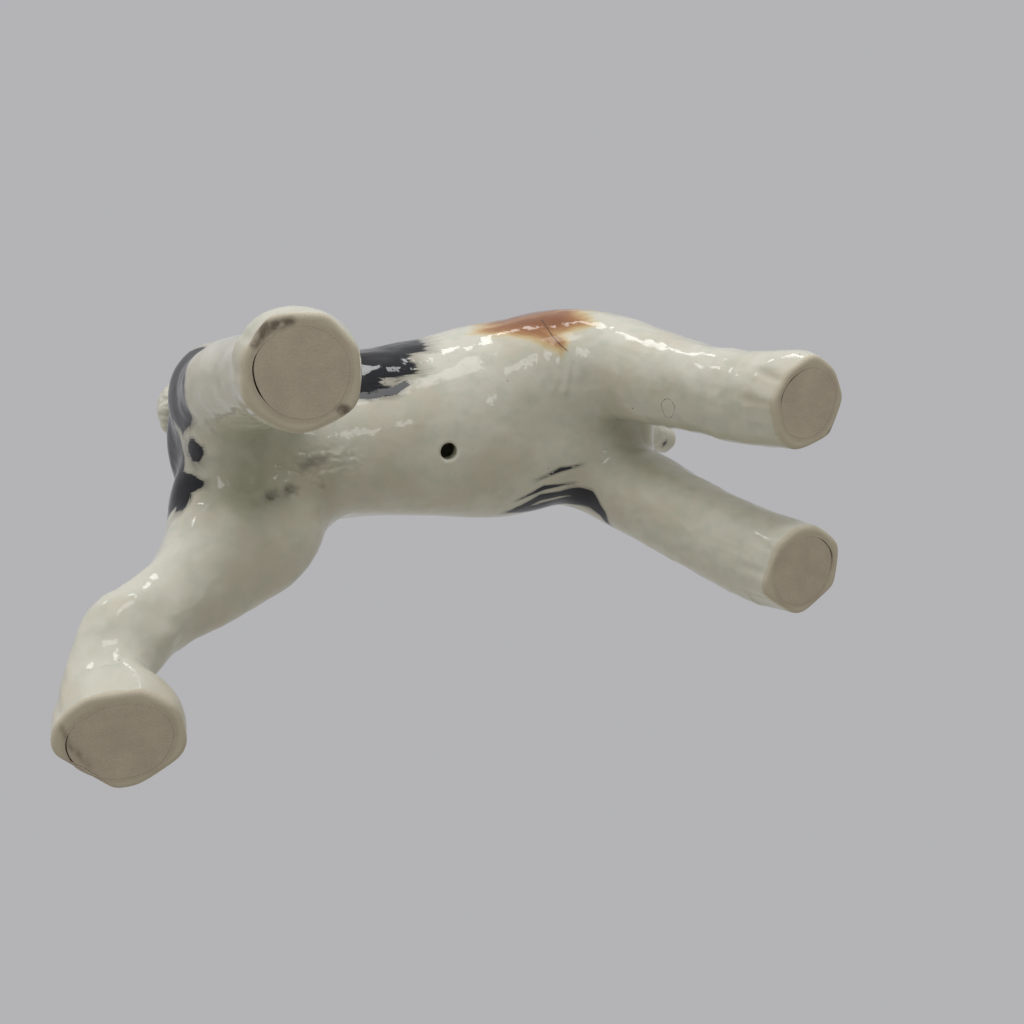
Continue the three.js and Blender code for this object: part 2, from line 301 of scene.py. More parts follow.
def coat_relief(points):
    """How far the coat stands out of the smooth clay: combed strokes on the legs and back, a smooth belly."""
    forward, up = points[:, FORWARD], points[:, UP]
    on_leg = between(52, 41, up)
    on_back = between(58, 84, up)
    warp = swell(points, (9, 9, 9), 1)[:, None] * 1.6
    strokes_down = 1 - 2.2 * np.abs(swell(points + warp, (3.4, 3.4, 7.5), 2))
    strokes_back = 1 - 2.2 * np.abs(swell(points + warp, (8.5, 3.4, 4.2), 3))
    dents = swell(points, (5, 5, 6), 4)
    combed = on_leg * strokes_down + (1 - on_leg) * strokes_back
    bumps = swell(points + warp, (4.2, 4.2, 5.5), 5)
    depth = 0.02 + 0.04 * on_leg + 0.14 * on_back
    pinch = between(0.5, 7, up)
    tufts = swell(points + warp, (2.9, 2.9, 3.8), 7)
    folds = np.sin(forward * 2 + swell(points, (7, 7, 7), 6) * 2.5)
    folds *= around(points, GROIN_FOLDS)
    on_thigh = between(26, 10, np.linalg.norm(points - THIGH, axis=1))
    dimples = (0.05 + 0.09 * on_leg) * dents + (0.02 + 0.09 * on_leg) * bumps
    dimples += 0.085 * np.maximum(on_leg, on_thigh) * tufts
    ridges = np.abs(swell(points, (2.6, 1.9, 3), 8))
    pits = np.abs(swell(points, (1.6, 1.3, 2), 9))
    dimples += around(points, JOINING_SLIP) * (0.55 * ridges - 0.35 * pits)
    for place, reach, height in blisters:
        dimples += height * between(1, 0, np.linalg.norm(points - place, axis=1) / reach)
    return (depth * combed + dimples + 0.13 * folds) * pinch


def skin(clay, low, high):
    """Triangles on the clay's surface between two corners: one point in each lattice cell that it crosses.

    The clay is first measured in coarse blocks, and then finely in the blocks that the surface may cross."""
    coarse = 4
    batch = 400_000
    first = np.floor(np.array(low) / MESH_STEP / coarse).astype(int) * coarse
    blocks = np.ceil((np.array(high) / MESH_STEP - first) / coarse).astype(int)
    centres = (np.stack(np.indices(blocks), axis=-1).reshape(-1, 3) + 0.5) * coarse
    rough = clay((centres + first) * MESH_STEP)

    def filled(block_values):
        cells = block_values.reshape(blocks)
        for axis in range(3):
            cells = np.repeat(cells, coarse, axis)
        return cells

    values = filled(rough)
    spots = np.argwhere(filled(np.abs(rough) < MESH_STEP * coarse * 1.6))
    for part in np.array_split(np.arange(len(spots)), max(1, len(spots) // batch)):
        values[tuple(spots[part].T)] = clay((spots[part] + first) * MESH_STEP)
    shape = np.array(values.shape)
    inside = values < 0
    total = np.zeros((shape.prod(), 3))
    count = np.zeros(shape.prod())
    faces = []
    stride = np.array((shape[1] * shape[2], shape[2], 1))
    for axis in range(3):
        head = np.take(inside, range(shape[axis] - 1), axis)
        crossing = np.argwhere(head != np.take(inside, range(1, shape[axis]), axis))
        crossing = crossing[(crossing > 0).all(axis=1)]
        spot = crossing @ stride
        start, end = values.ravel()[spot], values.ravel()[spot + stride[axis]]
        place = crossing.astype(float)
        place[:, axis] += start / (start - end)
        side, other = stride[(axis + 1) % 3], stride[(axis + 2) % 3]
        ring = np.stack((spot - side - other, spot - other, spot, spot - side), axis=1)
        for corner in ring.T:
            count += np.bincount(corner, minlength=len(count))
            for k in range(3):
                total[:, k] += np.bincount(corner, place[:, k], minlength=len(count))
        ring[start > 0] = ring[start > 0, ::-1]
        faces.append(ring)
    used = np.flatnonzero(count)
    number = np.full(len(count), -1)
    number[used] = np.arange(len(used))
    points = (total[used] / count[used, None] + first) * MESH_STEP
    quads = number[np.concatenate(faces)]
    corners = points[quads]
    diagonals = [np.linalg.norm(corners[:, k] - corners[:, k + 2], axis=1) for k in (0, 1)]
    quads = np.where((diagonals[0] < diagonals[1])[:, None], quads, np.roll(quads, 1, axis=1))
    triangles = np.concatenate((quads[:, (0, 1, 2)], quads[:, (0, 2, 3)]))
    for _ in range(2):
        steepness = uphill(clay, points)
        points = points - steepness * (clay(points) / (steepness**2).sum(axis=1))[:, None]
    return points, triangles


def uphill(clay, points, reach=0.15):
    """The direction and rate in which the distance from the clay grows."""
    corners = np.array(((1, -1, -1), (-1, -1, 1), (-1, 1, -1), (1, 1, 1)), float)
    return sum(corner * clay(points + corner * reach)[:, None] for corner in corners) / (4 * reach)


def trim(points, triangles, keep):
    """The part of a mesh where keep is above 0, cut exactly along the line where it is 0."""
    kept = keep > 0
    many = kept[triangles].sum(axis=1)
    mixed = triangles[(many == 1) | (many == 2)]
    state = kept[mixed]
    odd = np.argmax(state != (state.sum(axis=1) == 2)[:, None], axis=1)
    mixed = mixed[np.arange(len(mixed))[:, None], (odd[:, None] + (0, 1, 2)) % 3]
    cuts = np.concatenate((mixed[:, (0, 1)], mixed[:, (0, 2)]))
    ordered = np.sort(cuts, axis=1)
    edges, which = np.unique(ordered, axis=0, return_inverse=True)
    which = which.ravel() + len(points)
    share = keep[edges[:, 0]] / (keep[edges[:, 0]] - keep[edges[:, 1]])
    fresh = points[edges[:, 0]] + share[:, None] * (points[edges[:, 1]] - points[edges[:, 0]])
    near, far = which[: len(mixed)], which[len(mixed) :]
    lone = kept[mixed[:, 0]]
    tip = np.stack((mixed[:, 0], near, far), axis=1)[lone]
    stump = np.stack((near, mixed[:, 1], mixed[:, 2]), axis=1)[~lone]
    filler = np.stack((near, mixed[:, 2], far), axis=1)[~lone]
    return packed(np.concatenate((points, fresh)), np.concatenate((triangles[many == 3], tip, stump, filler)))


def packed(points, triangles):
    """The mesh without the points that no triangle uses."""
    used, numbers = np.unique(triangles, return_inverse=True)
    return points[used], numbers.reshape(-1, 3)


def open_loops(triangles):
    """The closed lines of edges that only one triangle uses, in the order that its triangle gives them."""
    edges = np.concatenate((triangles[:, (0, 1)], triangles[:, (1, 2)], triangles[:, (2, 0)]))
    keys = edges[:, 0] * (triangles.max() + 1) + edges[:, 1]
    back = edges[:, 1] * (triangles.max() + 1) + edges[:, 0]
    following = dict(edges[~np.isin(keys, back)].tolist())
    loops = []
    while following:
        loop = [next(iter(following))]
        while loop[-1] in following:
            loop.append(following.pop(loop[-1]))
        loops.append(loop[:-1])
    return loops


def plug_openings(points, triangles, inward, clay):
    """Closes each open end, behind the clay's surface, with a shallow cone that points inward."""
    for loop in open_loops(triangles):
        rim = points[loop]
        slope = uphill(clay, rim)
        lip = rim - slope / np.linalg.norm(slope, axis=1, keepdims=True) * LIP_DEPTH
        middle = lip.mean(axis=0)
        axis = np.cross(lip - middle, np.roll(lip, -1, axis=0) - middle).sum(axis=0)
        tip = middle + axis / np.linalg.norm(axis) * inward
        first = len(points)
        inner = np.arange(len(loop)) + first
        points = np.concatenate((points, lip, tip[None]))
        fan = np.stack((np.full(len(loop), first + len(loop)), np.roll(inner, -1), inner), axis=1)
        triangles = np.concatenate((triangles, strips(inner, np.array(loop)), fan))
    return points, triangles


def strips(first_ring, second_ring):
    """Triangles between two closed rings of as many points, that face out of a form from first to second."""
    after, second_after = np.roll(first_ring, -1), np.roll(second_ring, -1)
    near = np.stack((first_ring, after, second_ring), axis=1)
    return np.concatenate((near, np.stack((after, second_after, second_ring), axis=1)))


FORELEG_POOL_AND_SHADE = ((99, -2, 42), (21, 15, 13))  # between the forelegs, where the glaze ran together and fired darker, and where painted shade darkens it


def dressed(clay, relief, points):
    """The points raised by the coat's relief, their normals, and how deep each lies in a hollow, for pooled
    glaze and painted shade.
    """
    normals = uphill(clay, points)
    normals /= np.linalg.norm(normals, axis=1, keepdims=True)
    hollow = np.zeros(len(points))
    # How near other clay lies along each normal, which darkens the glaze: pooled glaze and painted shade in
    # creases and between parts
    for reach in (1.5, 4, 8):
        hollow += np.clip(1 - clay(points + normals * reach) / reach, 0, 1) / 3
    # Painted shade between the forelegs, as well as glaze that pooled there
    hollow += 0.6 * around(points, FORELEG_POOL_AND_SHADE)
    raised = points + normals * relief(points)[:, None]
    shading = uphill(lambda spots: clay(spots) - relief(spots), raised, 0.2)
    shading /= np.linalg.norm(shading, axis=1, keepdims=True)
    return raised, shading, hollow


def add_piece(node, name, finish, points, triangles, normals, marks):
    """One piece of the figurine in metres, in place of a CAD node. Marks are values at its points."""
    forward, left, up = ((points - ROW_ORIGIN) / 1000).T
    mesh = bpy.data.meshes.new(name)
    mesh.vertices.add(len(points))
    mesh.vertices.foreach_set("co", np.stack((left, -forward, up), axis=1).astype(np.float32).ravel())
    mesh.loops.add(triangles.size)
    mesh.loops.foreach_set("vertex_index", triangles.astype(np.int32).ravel())
    mesh.polygons.add(len(triangles))
    mesh.polygons.foreach_set("loop_start", np.arange(0, triangles.size, 3, dtype=np.int32))
    mesh.materials.append(finish.material)
    mesh.update(calc_edges=True)
    forward, left, up = normals.T
    mesh.normals_split_custom_set_from_vertices(np.stack((left, -forward, up), axis=1))
    for mark, values in marks.items():
        kind, entry = ("FLOAT_VECTOR", "vector") if values.ndim == 2 else ("FLOAT", "value")
        attribute = mesh.attributes.new(mark, kind, "POINT")
        attribute.data.foreach_set(entry, values.astype(np.float32).ravel())
    piece = bpy.data.objects.new(name, mesh)
    bpy.context.scene.collection.objects.link(piece)
    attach(piece, "root")
    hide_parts(node)


def joint_side(points, legs):
    """Below 0 on the legs' side of their joints with the body, which dip in the fillets, and else above 0."""
    dip = 1.3
    reach = 3.5
    off = np.minimum.reduce([leg(points) for leg in legs])
    return np.maximum(points[:, UP] - JOINT_UP + dip * np.maximum(off, 0), off - reach)


# The tail's and the body's meshes meet where the tail's fillet ends
tail_path = curved(((10, -0.5, 74), (6, -1.5, 77), (-6, -5.8, 83.5), (-19, -11.5, 91)))
tail_roll = roll(tail_path, np.interp(tail_path[:, FORWARD], (-19, -6, 6, 10), (4.2, 5.1, 5.8, 5.8)))
TAIL_FILLET = 3.5


def tail_edge(points):
    return tail_roll(points) - TAIL_FILLET - 1


def body_keep(points):
    above_legs = joint_side(points, upper_legs.values())
    return np.minimum(np.minimum(above_legs, NECK_JOINT_UP - points[:, UP]), tail_edge(points))


def stroke(path, halves, side_edge=1.0, tip_edge=2.0):
    """Paint laid on along a path, half as wide as halves say, with edges that fade over some millimetres.

    Measures how far points are inside the paint, counted in its edges, and along and across the brush."""
    path = np.array(path, float)
    halves = np.full(len(path), halves, float)
    runs = np.diff(path, axis=0)
    lengths = np.linalg.norm(runs, axis=1)
    begun = np.concatenate(([0], np.cumsum(lengths)))
    last = len(runs) - 1

    def measure(points, normals):
        nearest = np.full(len(points), np.inf)
        along, across, half = np.zeros((3, len(points)))
        for k, (start, run, length) in enumerate(zip(path, runs, lengths)):
            share = (points - start) @ run / length**2
            share = np.clip(share, -np.inf if k == 0 else 0, np.inf if k == last else 1)
            gap = points - start - share[:, None] * run
            distance = np.linalg.norm(gap, axis=1)
            closer = distance < nearest
            nearest[closer] = distance[closer]
            along[closer] = (begun[k] + share * length)[closer]
            across[closer] = (gap * np.cross(normals, run / length)).sum(axis=1)[closer]
            width = halves[k] + np.clip(share, 0, 1) * (halves[k + 1] - halves[k])
            half[closer] = width[closer]
        tips = np.minimum(along, begun[-1] - along) / tip_edge
        return np.minimum((half - nearest) / side_edge, tips), along, across

    return measure


black_strokes = [
    stroke(((106, 0, 82), (92, 0, 90), (62, 0, 90)), (23, 28, 27), 1.4, 3),  # saddle, over the back
    stroke(  # throat
        ((119, 4, 58), (118, 2, 68), (114, 0, 80), (110, 0, 89), (105, 0, 99)), (9, 10, 14, 12.5, 8), 1.4, 3
    ),
    stroke(((98, 20, 71), (61.5, 22.6, 68)), (8, 7), 1.0, 2.4),  # saddle, left flap
    stroke(((98, 17, 59), (66.3, 20.2, 59.3)), (6.4, 5.6), 1.0, 2.2),
    stroke(  # its rim
        ((94, 15, 51.5), (78, 14.6, 51.6), (72, 14.6, 51.3), (68.4, 16, 52.8)), (2, 2, 1.3, 0.7), 0.6, 1.4
    ),
    stroke(((98, 16.5, 54.6), (74, 16.8, 54.2)), (2.8, 2.2), 0.7, 1.4),
    stroke(((75, 15.4, 52.6), (69.5, 17, 54.5)), 0.3, 2.4, 2.0),  # wash beside it
    stroke(((98, -19, 76), (66, -20, 76)), 6, 1.2, 2.4),  # saddle, right flap
    stroke(  # chest, from the left shoulder across the breast
        ((112, 25.6, 51), (115.4, 21.4, 51.6), (117, 17, 53.6), (117.8, 13, 55.4), (118, 9.4, 57)),
        (6.5, 9.8, 10.6, 8.4, 5.2),
        0.8,
        1.6,
    ),
    stroke(  # bib
        ((115, 22, 58), (118, 14, 62), (119.4, 7, 64), (119.4, 0, 64), (119.6, -7, 60)),
        (5, 6.5, 7, 6.5, 5),
        1.4,
        2.5,
    ),
    stroke(((117.9, 7.4, 57), (118.5, 2, 56), (118.8, -2, 53.5)), (1.2, 2.6, 3.6), 0.8, 1.2),
    stroke(  # blot
        ((116, 4.2, 51.2), (115.1, 4.4, 49.6), (114.2, 4.6, 48), (113.3, 4.9, 46.4)),
        (0.6, 2.4, 2.4, 0.6),
        0.6,
        0.6,
    ),
    stroke(((116.6, 3.4, 51.3), (114.6, 1.6, 48)), (0.9, 0.6), 2.0, 2.0),  # wash under it
    # in the pits of the slip
    stroke(((101.8, -5.2, 41.6), (101, -4.5, 41.8), (100, -4.4, 42.4)), (0.1, 0.4, 0.1), 0.8, 0.8),
    stroke(((97.5, -4.6, 43.4), (96.7, -4, 43.9), (95.8, -4.4, 44.2)), (0.1, 0.4, 0.1), 0.8, 0.8),
    stroke(((93.5, 0.4, 45), (91.6, 1.3, 45.1), (89.4, 1.4, 45.2)), (0.1, 0.3, 0.1), 0.8, 0.8),
    stroke(  # right side of the breast
        ((113.6, -1.5, 44.8), (116.2, -2.1, 47), (118.6, -3.6, 50), (121, -8, 54)), (0.5, 2.3, 4, 5), 0.6, 0.8
    ),
    stroke(((117.6, -2.6, 49), (118.2, -5, 46.6), (118.8, -7.2, 44.6)), (2.6, 2.4, 1.4), 0.6, 1.4),
    stroke(  # right haunch
        ((46, -22, 69), (36, -25, 70), (22, -25, 68), (11, -18, 62)), (3.5, 8, 9, 7), 1.2, 3
    ),
    stroke(  # its lower hairs, along the groin
        (
            (43, -18.3, 57.8),
            (37.5, -16, 55.6),
            (35, -14.3, 54.4),
            (30, -13.8, 54.4),
            (25.2, -13.7, 53.1),
            (23.2, -14.4, 51.1),
            (21.2, -17.6, 47.9),
            (19.2, -20.8, 48),
        ),
        (0.4, 1.2, 1.4, 1.1, 1.9, 2.3, 1.6, 0.7),
        0.45,
        1.0,
    ),
    stroke(((40.9, -14.2, 54), (35, -11.3, 52.7), (27.7, -10.8, 52.4)), (0.25, 0.7, 0.25), 0.35, 1.0),
    stroke(((36.6, -8.6, 51.6), (31.7, -6.6, 51), (26.8, -5.8, 50.8)), (0.2, 0.6, 0.2), 0.35, 1.0),
    stroke(  # between them and the haunch
        (
            (42.5, -18.4, 57.6),
            (38, -18.6, 57.8),
            (34, -18.2, 58),
            (30, -17.4, 57.8),
            (26.3, -16.4, 56.2),
            (23.7, -16.4, 53),
            (21.5, -18.4, 48.6),
        ),
        (0.5, 1.9, 2.6, 2.6, 2.1, 1.6, 0.8),
        0.7,
        1.0,
    ),
]
tan_strokes = [
    stroke(  # left haunch
        ((48.5, 26, 65), (41, 27.6, 60.5), (33, 28.4, 57), (25.5, 29.6, 56)), (1.4, 3.8, 5.6, 5), 1.5, 2.4
    ),
    stroke(((43, 26, 62), (37.5, 26, 55.5), (32.2, 23, 50)), (2.6, 2.6, 1.6), 1.3, 1.2),  # its lower tip
    stroke(((46, 24.5, 69), (35, 27, 68), (21, 27, 66)), (4.5, 8.5, 8), 1.8, 3),  # over the haunch
    stroke(((43, 19, 80), (29, 21, 79), (12, 18, 76)), (5, 10.5, 10), 1.8, 3.5),
    stroke(((35, 6, 88), (21, 5, 87), (6, 2, 80)), (13, 19, 16), 2, 4),  # rump
]
crease_lines = [  # in the tan, drawn over twice
    stroke(
        ((34.9, 28.6, 58.8), (34.9, 27.2, 55), (34.5, 25.4, 52.1), (33.3, 23.6, 50.1), (31.6, 22, 48.6)),
        0.7,
        0.8,
        2.5,
    ),
    stroke(((33.2, 26.9, 54.2), (32.7, 24.9, 51.8), (31, 23.4, 50)), 0.6, 0.8, 1.6),
]
UNPAINTED = -9.0


def painted(spots, normals, **brushwork):
    """Marks of the stroke that each point is furthest inside: how far, and along and across the brush."""
    marks = {}
    for name, strokes in brushwork.items():
        marks[name] = np.full((len(spots), 3), UNPAINTED)
        for paint in strokes:
            found = np.stack(paint(spots, normals), axis=1)
            better = found[:, 0] > marks[name][:, 0]
            marks[name][better] = found[better]
    return marks


def inside(shapes, points):
    """How many millimetres inside any of the shapes each point is."""
    return -np.minimum.reduce([shape(points) for shape in shapes])


class Wire:
    """The output of a shading node, so that shading sums can be written as Python expressions."""

    def __init__(self, tree, socket):
        self.tree = tree
        self.socket = socket

    def math(self, operation, *values):
        return self.tree.add("ShaderNodeMath", {"operation": operation}, dict(enumerate(values)))

    def __add__(self, other):
        return self.math("ADD", self, other)

    __radd__ = __add__

    def __sub__(self, other):
        return self.math("SUBTRACT", self, other)

    def __rsub__(self, other):
        return self.math("SUBTRACT", other, self)

    def __mul__(self, other):
        return self.math("MULTIPLY", self, other)

    __rmul__ = __mul__

    def most(self, other):
        return self.math("MAXIMUM", self, other)

    def step(self, low, high):
        """0 below low, 1 above high and a smooth step between them."""
        values = {"Value": self, "From Min": low, "From Max": high}
        return self.tree.add("ShaderNodeMapRange", {"interpolation_type": "SMOOTHSTEP"}, values)


class Tree:
    """The shading nodes of a material or of the world, with one method that adds them."""

    def __init__(self, owner):
        owner.use_nodes = True
        self.nodes = owner.node_tree.nodes
        self.links = owner.node_tree.links
        self.surface = next(node for node in self.nodes if node.type.startswith("OUTPUT")).inputs["Surface"]

    def add(self, kind, settings=None, values=None, output=0):
        node = self.nodes.new(kind)
        for name, value in (settings or {}).items():
            setattr(node, name, value)
        for name, value in (values or {}).items():
            self.feed(node.inputs[name], value)
        return Wire(self, node.outputs[output])

    def feed(self, socket, value):
        if isinstance(value, Wire):
            self.links.new(value.socket, socket)
        elif hasattr(value, "__len__") and socket.type == "RGBA":
            socket.default_value = (*value, 1)
        else:
            socket.default_value = value


SOCKETS = {"base_color": "Base Color", "roughness": "Roughness", "ior": "IOR", "normal": "Normal"}
MIX_COLOURS = (6, 7)  # the colour inputs of a Mix node, and its colour output
MIXED_COLOUR = 2


class Finish(Tree):
    """A material's nodes, and its shader."""

    def __init__(self, name):
        self.material = bpy.data.materials.new(name)
        super().__init__(self.material)
        self.shader = next(node for node in self.nodes if node.type == "BSDF_PRINCIPLED")
        self.place = self.add("ShaderNodeTexCoord", output="Object")

    def set(self, **values):
        for name, value in values.items():
            self.feed(self.shader.inputs[SOCKETS[name]], value)

    def mark(self, name):
        """A value that the mesh holds at each of its points."""
        return self.add("ShaderNodeAttribute", {"attribute_name": name}, output="Fac")

    def stroke_mark(self, name):
        """The values of a painted mark: how far inside the paint, and how far along and across the brush."""
        mark = self.add("ShaderNodeAttribute", {"attribute_name": name}, output="Vector")
        parts = self.add("ShaderNodeSeparateXYZ", {}, {0: mark}).socket.node
        return [Wire(self, parts.outputs[k]) for k in range(3)]

    def noise(self, size, detail=2.0, shift=0.0):
        """Noise from 0 to 1, with grains of a size in millimetres."""
        values = {0: self.place, 1: (1000 / size,) * 3, 2: (shift,) * 3}
        place = self.add("ShaderNodeVectorMath", {"operation": "MULTIPLY_ADD"}, values)
        return self.noise_at(place, detail)

    def noise_at(self, place, detail):
        values = {"Vector": place, "Scale": 1.0, "Detail": detail}
        return self.add("ShaderNodeTexNoise", {}, values, output="Fac")

    def mix(self, share, first, second):
        """A colour between two colours."""
        values = {"Factor": share, MIX_COLOURS[0]: first, MIX_COLOURS[1]: second}
        return self.add("ShaderNodeMix", {"data_type": "RGBA"}, values, output=MIXED_COLOUR)

    def bump(self, height, strength, distance):
        values = {"Height": height, "Strength": strength, "Distance": distance / 1000}
        return self.add("ShaderNodeBump", {}, values, output="Normal")


GLAZED_WHITE = (0.73, 0.72, 0.65)
POOLED_GLAZE_AND_SHADE = (0.43, 0.44, 0.345)
CREAM_CLOUD = (0.635, 0.585, 0.49)
GREEN_STREAK = (0.57, 0.615, 0.53)
IRON_SPECK = (0.12, 0.10, 0.08)


def glaze_colour(finish):
    """White clay under a clear glaze, thicker and greener in hollows, with painted shade there, and a few
    iron specks.
    """
    # Pooled glaze and painted shade: the white turns darker and greener as a point lies deeper in a hollow
    pool_and_shade = (finish.mark("hollow") * 1.5 + (finish.noise(7, 3) - 0.5) * 1.1).step(0.1, 1.3)
    white = finish.mix(pool_and_shade, GLAZED_WHITE, POOLED_GLAZE_AND_SHADE)
    cloud = finish.noise(14, 3, shift=5).step(0.42, 0.64)
    white = finish.mix(cloud * 0.6, white, CREAM_CLOUD)
    streaky = finish.noise(4, 3, shift=9).step(0.46, 0.66)
    white = finish.mix(streaky * 0.4, white, GREEN_STREAK)
    cells = {"Vector": finish.place, "Scale": 420.0}
    chance = finish.add("ShaderNodeTexVoronoi", {"feature": "F1"}, cells, output="Color")
    chance = finish.add("ShaderNodeSeparateColor", {}, {0: chance})
    distance = finish.add("ShaderNodeTexVoronoi", {"feature": "F1"}, cells, output="Distance")
    speck = chance.step(0.965, 0.967) * (1 - distance.step(0.05, 0.11))
    return finish.mix(speck * 0.75, white, IRON_SPECK)


def brushwork(finish, mark, seed):
    """How far inside a mark's paint a point is, and what the hairs of the brush along it add there."""
    inner, along, across = finish.stroke_mark(mark)
    hairs = []
    for wide, long in ((0.42, 7.0), (1.7, 13.0)):
        values = {0: along * (1 / long), 1: across * (1 / wide), 2: seed}
        hairs.append(finish.noise_at(finish.add("ShaderNodeCombineXYZ", {}, values), 2.0) - 0.5)
    return inner, hairs[0] * 2.6 + hairs[1] * 2.2


TAN_THIN, TAN_FULL, TAN_HAIR = (0.40, 0.20, 0.10), (0.275, 0.118, 0.058), (0.235, 0.095, 0.055)
TAN_MIST, TAN_EDGE = (0.70, 0.575, 0.31), (0.60, 0.37, 0.18)
BLACK_FULL, BLACK_THIN = (0.0065, 0.0072, 0.010), (0.019, 0.021, 0.027)
FINE_LINE = (0.075, 0.055, 0.045)


def underglaze_paint(finish, colour):
    """Tan, then black, brushed and blown on before glazing, with edges that break up into hair strokes."""
    cloud = (finish.noise(4.5, 2, shift=4) - 0.5) * 2.4
    tan, hairs = brushwork(finish, "tan", 3.0)
    tan = tan + hairs * 0.5 + cloud * 0.5
    browns = finish.mix(tan.step(0.5, 2.6), TAN_THIN, TAN_FULL)
    browns = finish.mix(hairs.step(0.0, 1.1) * 0.6, browns, TAN_HAIR)
    colour = finish.mix(tan.step(-1.5, 0.0) * 0.75, colour, TAN_MIST)
    colour = finish.mix(tan.step(-0.9, 0.6) * 0.8, colour, TAN_EDGE)
    colour = finish.mix(tan.step(-0.2, 1.2), colour, browns)
    black, hairs = brushwork(finish, "black", 8.0)
    black = black + hairs * 0.68 + cloud * 0.3
    blue_black = finish.mix(hairs.step(-0.6, 1.4), BLACK_FULL, BLACK_THIN)
    wash = black.step(-2.2, 0.4) * 0.45
    return finish.mix(wash.most(black.step(-0.45, 0.4)), colour, blue_black)


def drawn_lines(finish, colour, width):
    """Thin dark lines, drawn with the tip of the brush."""
    inner, _, across = finish.stroke_mark("line")
    off = across.most(across * -1) + (finish.noise(1.5, 2) - 0.5) * 0.2
    line = inner.step(0.0, 0.5) * (1 - off.step(width * 0.4, width * 1.3))
    return finish.mix(line * 0.75, colour, FINE_LINE)


def clear_glaze(finish, colour):
    """The glossy top of the glaze, with the faint waves and pits that it fires with."""
    waves = finish.noise(2.6, 2) + finish.noise(0.6, 2) * 0.05
    roughness = finish.noise(6, 3, shift=2).step(0.3, 0.8) * 0.05 + 0.045
    finish.set(base_color=colour, roughness=roughness, ior=1.46, normal=finish.bump(waves, 0.7, 0.12))


def moulded(clay, relief, low, high, keep, inward=2):
    """A closed and dressed mesh of the clay between two corners, cut off where keep is below 0.

    Gives the places before dressing too, because the paint is measured there."""
    points, faces = skin(clay, low, high)
    points, faces = trim(points, faces, keep(points))
    spots, faces = plug_openings(points, faces, inward, clay)
    return spots, faces, *dressed(clay, relief, spots)


body_glaze = Finish("painted_body_glaze")
clear_glaze(body_glaze, drawn_lines(body_glaze, underglaze_paint(body_glaze, glaze_colour(body_glaze)), 0.16))
spots, faces, points, normals, hollow = moulded(
    body_clay, coat_relief, (-4, -32, 40), (124, 32, 100), body_keep
)
marks = painted(spots, normals, black=black_strokes, tan=tan_strokes, line=crease_lines)
marks["hollow"] = hollow
add_piece("body_shell", "glazed_body", body_glaze, points, faces, normals, marks)


# Legs. Four hollow legs, cast apart with combed coats and luted under the body. Each foot flares a little,
# was trimmed with a few straight cuts of a knife, and stands on bare clay where the glaze was wiped off.

# forward, left, up, half width, half length; the sections above these are the body's own
lower_leg_sections = {
    "hind_left": ((2, 18.3, 0, 9.3, 8.6), (2.4, 18.2, 4, 9.8, 8.9), (4, 16.9, 12, 9.8, 8.8)),
    "hind_right": ((-2, -17.3, 0, 9.9, 9.4), (-1.6, -17.7, 4, 9.9, 9.6), (1, -17.7, 12, 10, 9.2)),
    "front_left": (
        (98.7, 27.9, 0, 9.6, 9.7),
        (98.9, 27.7, 4, 10.1, 10.1),
        (99.6, 26.3, 11, 8.7, 8.9),
        (101.5, 24, 21, 8.2, 8.6),
    ),
    "front_right": (
        (131, -31.6, 0, 9.2, 10.4),
        (131.3, -30.4, 4, 9.4, 10.1),
        (133.1, -26.6, 10, 7.4, 7.0),
        (129.8, -21.6, 17, 7.9, 7.7),
        (124.9, -20.1, 23, 7.9, 8.4),
    ),
}
# Direction of each knife cut, in degrees from forward to the left, and its distance from the sole's middle
knife_cuts = {
    "hind_left": (
        (124, 8.2),
        (153, 7.7),
        (-164, 7.8),
        (-111, 8.5),
        (-49, 8.4),
        (-18, 7.7),
        (26, 7.6),
        (58, 8.1),
    ),
    "hind_right": ((124, 9.0), (180, 8.7), (-128, 8.7), (-56, 8.4), (16, 8.4), (53, 9.2)),
    "front_left": ((139, 8.9), (180, 8.8), (-114, 8.9), (-55, 9.3), (5, 8.9), (36, 8.8), (90, 9.0)),
    "front_right": ((-44, 7.4), (-120, 8.5), (90, 8.7), (130, 9.2), (57, 9.7), (170, 9.5)),
}
SOLE_EDGE_UP = 0.8  # where the foot's side ends and its rounded edge begins
SOCKET_DEPTH = 3.3
PLUG_INSET = 2.3  # from the sole's outline to the clay disc
# Direction in which the joint round each clay disc has opened, and how far it has
crack_facing = {"hind_left": 35, "hind_right": 150, "front_left": 0, "front_right": -15}
# The sinew behind each leg, or the wrist, and how far its edge is smoothed into the leg
leg_bumps = {
    "hind_left": (roll(((1.5, 15, 30), (-1, 16.5, 20), (-4, 17, 8)), (2, 1.6, 1)), 5),
    "hind_right": (roll(((-1, -14, 30), (-4, -16, 20), (-8, -17, 8)), (2, 1.6, 1)), 5),
    "front_left": (roll(((95, 23, 30), (94, 25.5, 18), (92.5, 27, 8)), (1.6, 1.4, 1)), 5),
    "front_right": (pad((131.5, -18.2, 19), (4, 3.6, 5)), 3),
}
TOE_GROOVES = (-34, 0, 34)  # degrees from forward
drop_sides = (  # of a drop of slip on the left hind leg
    ((18.1, 13.3, 28.8), (17.8, 14.6, 27.6), (17.3, 14.7, 26.1), (16.7, 13.3, 25.2)),
    ((16.7, 13.3, 25.2), (16.4, 11.3, 26.2), (16.5, 10.2, 28.4), (18.1, 13.3, 28.8)),
)
leg_lines = crease_lines + [stroke(curved(side, 3), 1.0, 0.8, 0.3) for side in drop_sides]


